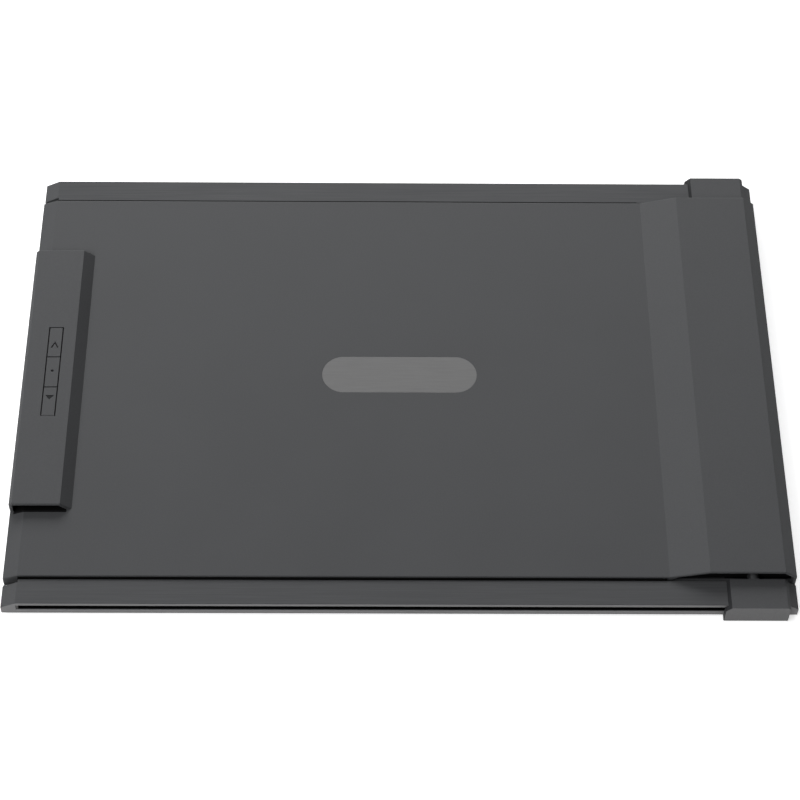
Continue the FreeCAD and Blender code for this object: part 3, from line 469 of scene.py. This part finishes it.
# the maker of each material and what it is given
RECIPES = {
    "housing": (moulded_plastic, dict(colour=HOUSING_GREY, roughness=0.55)),
    # the keys, their sides painted black below the top as painted shade in the gaps
    "key_plastic": (moulded_plastic, dict(
        colour=HOUSING_GREY, roughness=0.46, grain=0.4 * MM, depth=0.004 * MM,
        shaded_below=KEY_TOP - KEY_SHADE_DEPTH)),
    # the blocks: painted highlight on outward faces, painted shade on slopes that look left
    "block_plastic": (moulded_plastic, dict(
        colour=BLOCK_GREY, roughness=0.58, side=BLOCK_HIGHLIGHT_GREY,
        left_slope_shade=LEFT_SLOPE_SHADE)),
    "bezel": (moulded_plastic, dict(
        colour=(0.030, 0.030, 0.032), roughness=0.42, grain=0.4 * MM, depth=0.005 * MM)),
    # the end caps' black plastic, darkened to near black as painted shade in the recesses at the
    # bar's and spine's ends
    "cap": (moulded_plastic, dict(colour=(0.006, 0.006, 0.0065), roughness=0.6, gloss=0.1)),
    "chip_plastic": (moulded_plastic, dict(
        colour=(0.02, 0.02, 0.022), roughness=0.45, grain=0.25 * MM)),
    "glide_plastic": (moulded_plastic, dict(
        colour=(0.55, 0.55, 0.5), roughness=0.35, grain=0.8 * MM)),
    # the rails: painted highlight on outward faces
    "rail_metal": (anodised_metal, dict(
        colour=RAIL_GREY, roughness=0.57, side=RAIL_HIGHLIGHT_GREY)),
    "plate_metal": (anodised_metal, dict(
        colour=(0.055, 0.055, 0.057), roughness=0.42, stretch=ALL_ROUND)),
    "rubber": (soft_rubber, dict(colour=(0.03, 0.03, 0.03))),
    "steel": (ground_steel, dict(colour=(0.36, 0.36, 0.37), roughness=0.32, stretch=ALONG_Y)),
    "sheet_steel": (ground_steel, dict(colour=(0.55, 0.56, 0.57), roughness=0.38)),
    "socket_steel": (ground_steel, dict(colour=(0.40, 0.395, 0.39), roughness=0.28)),
    "nickel": (ground_steel, dict(colour=(0.66, 0.63, 0.58), roughness=0.2, stretch=ALL_ROUND)),
    "contact_gold": (ground_steel, dict(colour=(0.83, 0.61, 0.22), roughness=0.25)),
    "display_glass": (dark_glass, {}),
    "white_film": (milky_sheet, dict(colour=(0.80, 0.80, 0.79), roughness=0.5)),
    "clear_guide": (acrylic_guide, {}),
    "led_board": (led_tape, {}),
    "circuit_board": (circuit_laminate, dict(mask=(0.02, 0.12, 0.05))),
    "cable_film": (polyimide_film, {}),
    "inlay": (foil_inlay, dict(colour=(0.147, 0.1472, 0.1475))),
    "mark_paint": (moulded_plastic, dict(
        colour=(0.020, 0.020, 0.021), roughness=0.7, grain=0.3 * MM, depth=0.004 * MM,
        wear=0.0, gloss=0.1)),
    # near-black sheet for the pieces of painted shade: slot liners, mouth pads and gap felt
    "liner": (moulded_plastic, dict(
        colour=(0.003, 0.003, 0.003), roughness=0.8, grain=0.3 * MM, depth=0.004 * MM,
        wear=0.0, gloss=0.05)),
}


def make_materials():
    """Every material by name: one for each slot of the record, and those of added pieces."""
    return {name: maker(name, **values) for name, (maker, values) in RECIPES.items()}


def dress_frame(materials):
    """Give every carried-over node the material of its slot."""
    for part in record["subparts"]:
        mesh = frame["nodes"][part["node"]].data
        mesh.materials.clear()
        mesh.materials.append(materials[part["material_slot"]])


# ---- added pieces -------------------------------------------------------------
def new_piece(name, shape, material, body):
    """Turn a bmesh into a piece that rides on a body."""
    bmesh.ops.recalc_face_normals(shape, faces=shape.faces)
    mesh = bpy.data.meshes.new(name)
    shape.to_mesh(mesh)
    shape.free()
    mesh.materials.append(material)
    piece = bpy.data.objects.new(name, mesh)
    bpy.context.collection.objects.link(piece)
    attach(piece, body)


def add_loft(shape, sections):
    """A closed solid through matching rings of points, one section after another."""
    rings = [[shape.verts.new(point) for point in section] for section in sections]
    shape.faces.new(rings[0])
    shape.faces.new(rings[-1])
    for ring, following in zip(rings, rings[1:]):
        for index in range(len(ring)):
            after = (index + 1) % len(ring)
            shape.faces.new((ring[index], ring[after], following[after], following[index]))


def add_plate(shape, outline, low, high):
    """A closed plate with the given X, Y outline between two levels."""
    add_loft(shape, [[(x, y, level) for x, y in outline] for level in (low, high)])


def add_bar(shape, section, left, right):
    """A closed bar along X with the given Y, Z section."""
    add_loft(shape, [[(along, y, z) for y, z in section] for along in (left, right)])


def add_strip(shape, profile, front, rear, height):
    """A flat strip from front to rear, its underside following X, Z points."""
    add_loft(shape, [[(x, front, z), (x, rear, z), (x, rear, z + height), (x, front, z + height)]
                     for x, z in profile])


def rounded_outline(left, right, front, rear, radius, steps=6):
    """A rectangle's outline with round corners."""
    corners = ((right - radius, rear - radius, 0), (left + radius, rear - radius, 90),
               (left + radius, front + radius, 180), (right - radius, front + radius, 270))
    outline = []
    for x, y, start in corners:
        for step in range(steps + 1):
            angle = math.radians(start + 90 * step / steps)
            outline.append((x + radius * math.cos(angle), y + radius * math.sin(angle)))
    return outline


# the two sides of the object, as the ends of its nodes' names, and their sign along Y
SIDES = (("front", -1), ("rear", 1))

# painted marks on the floors of the keys' engravings
MARK_DEPTH = 0.25 * MM
PAINT_LIFT = 0.005 * MM
PAINT_THICKNESS = 0.04 * MM
MARK_STROKE = 0.6 * MM
CHEVRON_APEX = 0.21 * MM
CHEVRON_HALF_WIDTH = 1.61 * MM
CHEVRON_HEIGHT = 3.03 * MM
CHEVRON_FOOT_CUT = MARK_STROKE * 0.38
CHEVRON_NOTCH = MARK_STROKE * 1.9
DOT_RADIUS = 0.57 * MM
DOT_OFFSET = 0.55 * MM
DOT_STEPS = 32
TRIANGLE_TOP = 3.04 * MM
TRIANGLE_HALF_WIDTH = 1.79 * MM
TRIANGLE_HEIGHT = 2.1 * MM


def add_painted_mark(node, name, outline, materials):
    """Dark paint on the floor of a key's engraved mark; the outline is from the key's centre."""
    low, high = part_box(node)
    centre = (low + high) / 2
    floor = high.z - MARK_DEPTH
    points = [(centre.x + x, centre.y + y) for x, y in outline]
    shape = bmesh.new()
    add_plate(shape, points, floor + PAINT_LIFT, floor + PAINT_THICKNESS)
    new_piece(name, shape, materials["mark_paint"], node)


def make_key_marks(materials):
    """The up mark, the dot and the down mark."""
    half = CHEVRON_HALF_WIDTH
    foot = CHEVRON_APEX - CHEVRON_HEIGHT
    inner_foot = foot - CHEVRON_FOOT_CUT
    chevron = [
        (-half, foot),
        (0, CHEVRON_APEX),
        (half, foot),
        (half - MARK_STROKE, inner_foot),
        (0, CHEVRON_APEX - CHEVRON_NOTCH),
        (MARK_STROKE - half, inner_foot),
    ]
    add_painted_mark("button_up", "mark_up", chevron, materials)
    dot = []
    for step in range(DOT_STEPS):
        angle = math.tau * step / DOT_STEPS
        dot.append((DOT_RADIUS * math.cos(angle), DOT_OFFSET + DOT_RADIUS * math.sin(angle)))
    add_painted_mark("button_menu", "mark_menu", dot, materials)
    triangle = [
        (-TRIANGLE_HALF_WIDTH, TRIANGLE_TOP),
        (0, TRIANGLE_TOP - TRIANGLE_HEIGHT),
        (TRIANGLE_HALF_WIDTH, TRIANGLE_TOP),
    ]
    add_painted_mark("button_down", "mark_down", triangle, materials)


# the display's active area, a skin just off the cell's face
ACTIVE_HALF_LENGTH = 146.9 * MM
ACTIVE_HALF_WIDTH = 82.6 * MM
ACTIVE_CORNER = 0.5 * MM
ACTIVE_OUTER_LIFT = 0.03 * MM
ACTIVE_INNER_LIFT = 0.004 * MM


def make_active_area(materials):
    """The display's active area, a thin layer on the cell's front face."""
    low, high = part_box("display_cell")
    centre = (low + high) / 2
    outline = rounded_outline(
        centre.x - ACTIVE_HALF_LENGTH, centre.x + ACTIVE_HALF_LENGTH,
        centre.y - ACTIVE_HALF_WIDTH, centre.y + ACTIVE_HALF_WIDTH, ACTIVE_CORNER)
    shape = bmesh.new()
    add_plate(shape, outline, low.z - ACTIVE_OUTER_LIFT, low.z - ACTIVE_INNER_LIFT)
    new_piece("active_area", shape, materials["display_glass"], "screen")


# the contacts on the socket's tongue
CONTACT_COUNT = 12
CONTACT_PITCH = 0.5 * MM
CONTACT_LENGTH = 3.2 * MM
CONTACT_HALF_WIDTH = 0.13 * MM
CONTACT_CORNER = 0.06 * MM
CONTACT_CORNER_STEPS = 3
CONTACT_THICKNESS = 0.03 * MM
EARLY_CONTACTS = (0, 3, 8, 11)
EARLY_SETBACK = 1.2 * MM
LATE_SETBACK = 1.5 * MM
TONGUE_HALF_HEIGHT = 0.35 * MM


def make_port_contacts(materials):
    """Two rows of contacts on the socket's tongue; power and ground reach further out."""
    low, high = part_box("usb_c_socket")
    middle = (low + high) / 2
    shape = bmesh.new()
    for index in range(CONTACT_COUNT):
        line = middle.y + (index - (CONTACT_COUNT - 1) / 2) * CONTACT_PITCH
        front = low.x + (EARLY_SETBACK if index in EARLY_CONTACTS else LATE_SETBACK)
        outline = rounded_outline(
            front, front + CONTACT_LENGTH, line - CONTACT_HALF_WIDTH, line + CONTACT_HALF_WIDTH,
            CONTACT_CORNER, CONTACT_CORNER_STEPS)
        roof = middle.z + TONGUE_HALF_HEIGHT
        floor = middle.z - TONGUE_HALF_HEIGHT
        add_plate(shape, outline, roof, roof + CONTACT_THICKNESS)
        add_plate(shape, outline, floor - CONTACT_THICKNESS, floor)
    new_piece("usb_c_contacts", shape, materials["contact_gold"], "screen")


# the black liners in the rails' slots, their black a painted shade inside the slots
SLOT_LINER_HALF_LENGTH = 148.1 * MM
SLOT_LINER_SETBACK = 0.3 * MM
SLOT_LINER_DEPTH = 5.19 * MM
SLOT_LINER_GAUGE = 0.05 * MM
BUMPER_CLEARANCE = 0.095 * MM


def make_slot_liners(materials):
    """A thin dark low-friction liner folded into each rail's slot, its black a painted shade for
    the inside of the slot.
    """
    bumper_low, bumper_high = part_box("slide_bumpers")
    floor = bumper_low.z - BUMPER_CLEARANCE
    roof = bumper_high.z + BUMPER_CLEARANCE
    for end, side in SIDES:
        low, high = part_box("rail_" + end)
        face = low.y if side < 0 else high.y
        mouth = face - side * SLOT_LINER_SETBACK
        back = face - side * SLOT_LINER_DEPTH
        section = [
            (mouth, floor),
            (back, floor),
            (back, roof),
            (mouth, roof),
            (mouth, roof - SLOT_LINER_GAUGE),
            (back + side * SLOT_LINER_GAUGE, roof - SLOT_LINER_GAUGE),
            (back + side * SLOT_LINER_GAUGE, floor + SLOT_LINER_GAUGE),
            (mouth, floor + SLOT_LINER_GAUGE),
        ]
        shape = bmesh.new()
        add_bar(shape, section, -SLOT_LINER_HALF_LENGTH, SLOT_LINER_HALF_LENGTH)
        new_piece("slot_shade_liner_" + end, shape, materials["liner"], "base")


# the mouth at each end of the bar, darkened with a pad of painted shade
BAR_WALL = 1.55 * MM
BAR_CREST = 5.9 * MM
BAR_RIGHT_WALL = 2.1 * MM
PANEL_RAMP_SLOPE = 2.4 / 5.9
CAP_CLEARANCE = 0.05 * MM
PAD_REACH = 1.2 * MM
PAD_LIFT = 0.02 * MM
PAD_THICKNESS = 0.06 * MM
SILL_NEAR = 0.65 * MM
SILL_FAR = 0.95 * MM
SILL_LIFT = 0.07 * MM
SILL_HEIGHT = 0.3 * MM


def make_bar_mouths(materials):
    """A black pad of painted shade on the panel in each open end of the bar, and a thin sill
    across it.

    The pad reaches a little past the mouth, and both follow the panel's ramp down at the left.
    """
    bar_low, bar_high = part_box("control_bar")
    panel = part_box("badge_inlay")[1]
    wall = bar_low.x + BAR_WALL
    crest = bar_low.x + BAR_CREST
    right = bar_high.x - BAR_RIGHT_WALL
    drop = (crest - wall) * PANEL_RAMP_SLOPE
    for end, side in SIDES:
        low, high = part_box("bar_end_cap_" + end)
        cap_face = low.y if side < 0 else high.y
        mouth = bar_low.y if side < 0 else bar_high.y
        for name, start, stop, lift, height, material in (
                ("bar_mouth_shade_pad_", cap_face + side * CAP_CLEARANCE, mouth + side * PAD_REACH,
                 PAD_LIFT, PAD_THICKNESS, "liner"),
                ("bar_recess_sill_", mouth + side * SILL_NEAR, mouth + side * SILL_FAR,
                 SILL_LIFT, SILL_HEIGHT, "cap")):
            level = panel.z + lift
            profile = ((wall, level - drop), (crest, level), (right, level))
            shape = bmesh.new()
            add_strip(shape, profile, *sorted((start, stop)), height)
            new_piece(name + end, shape, materials[material], "screen")


# the black felt in the running gaps between panel and rails, a painted shade that keeps the gaps
# dark
GAP_WIDTH = 0.8 * MM
FELT_DEPTH = 2.6 * MM
WIPER_HALF_LENGTH = 148 * MM
WIPER_THICKNESS = 0.1 * MM
WIPER_SINK = 0.3 * MM
GASKET_LEFT = -149 * MM
GASKET_RIGHT = 104 * MM
GASKET_THICKNESS = 0.6 * MM
GASKET_SINK = 0.5 * MM


def make_gap_strips(materials):
    """Black felt on both faces of each running gap between the panel and a rail, as painted shade
    in the gaps.
    """
    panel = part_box("badge_inlay")[1]
    for end, side in SIDES:
        low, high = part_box("rail_" + end)
        rail_face = high.y if side < 0 else low.y
        panel_face = rail_face - side * GAP_WIDTH
        for name, start, stop, top, left, right, body in (
                ("gap_shade_wiper_", rail_face, rail_face - side * WIPER_THICKNESS,
                 high.z - WIPER_SINK, -WIPER_HALF_LENGTH, WIPER_HALF_LENGTH, "base"),
                ("edge_shade_gasket_", panel_face, panel_face + side * GASKET_THICKNESS,
                 panel.z - GASKET_SINK, GASKET_LEFT, GASKET_RIGHT, "screen")):
            foot = top - FELT_DEPTH
            section = [(start, foot), (stop, foot), (stop, top), (start, top)]
            shape = bmesh.new()
            add_bar(shape, section, left, right)
            new_piece(name + end, shape, materials["liner"], body)


FLOOR_HALF_SIZE = 4.0
FLOOR_CELLS = 8
FLOOR_GLOW = 0.6
FLOOR_CLOUD = 0.4
FLOOR_WHITE = (0.93, 0.93, 0.93)
FLOOR_OFF_WHITE = (0.90, 0.90, 0.905)


def make_floor():
    """A wide pale floor with a faint glow of its own, so that it stays near white."""
    shade = Shade("studio_floor")
    shade.fix({"Metallic": 0.0, "Specular IOR Level": 0.1, "Emission Strength": FLOOR_GLOW})
    cloud = shade.noise(FLOOR_CLOUD, 3)
    tone = shade.tones(cloud, [(NOISE_LOW, FLOOR_OFF_WHITE), (NOISE_HIGH, FLOOR_WHITE)])
    shape = bmesh.new()
    bmesh.ops.create_grid(shape, x_segments=FLOOR_CELLS, y_segments=FLOOR_CELLS,
                          size=FLOOR_HALF_SIZE)
    mesh = bpy.data.meshes.new("floor")
    shape.to_mesh(mesh)
    shape.free()
    mesh.materials.append(shade.done(tone, shade.spread(cloud, 0.8, 0.9)))
    floor = bpy.data.objects.new("floor", mesh)
    bpy.context.collection.objects.link(floor)


make_camera()
make_world()
make_lights()
make_floor()
palette = make_materials()
dress_frame(palette)
make_key_marks(palette)
make_active_area(palette)
make_port_contacts(palette)
make_slot_liners(palette)
make_bar_mouths(palette)
make_gap_strips(palette)
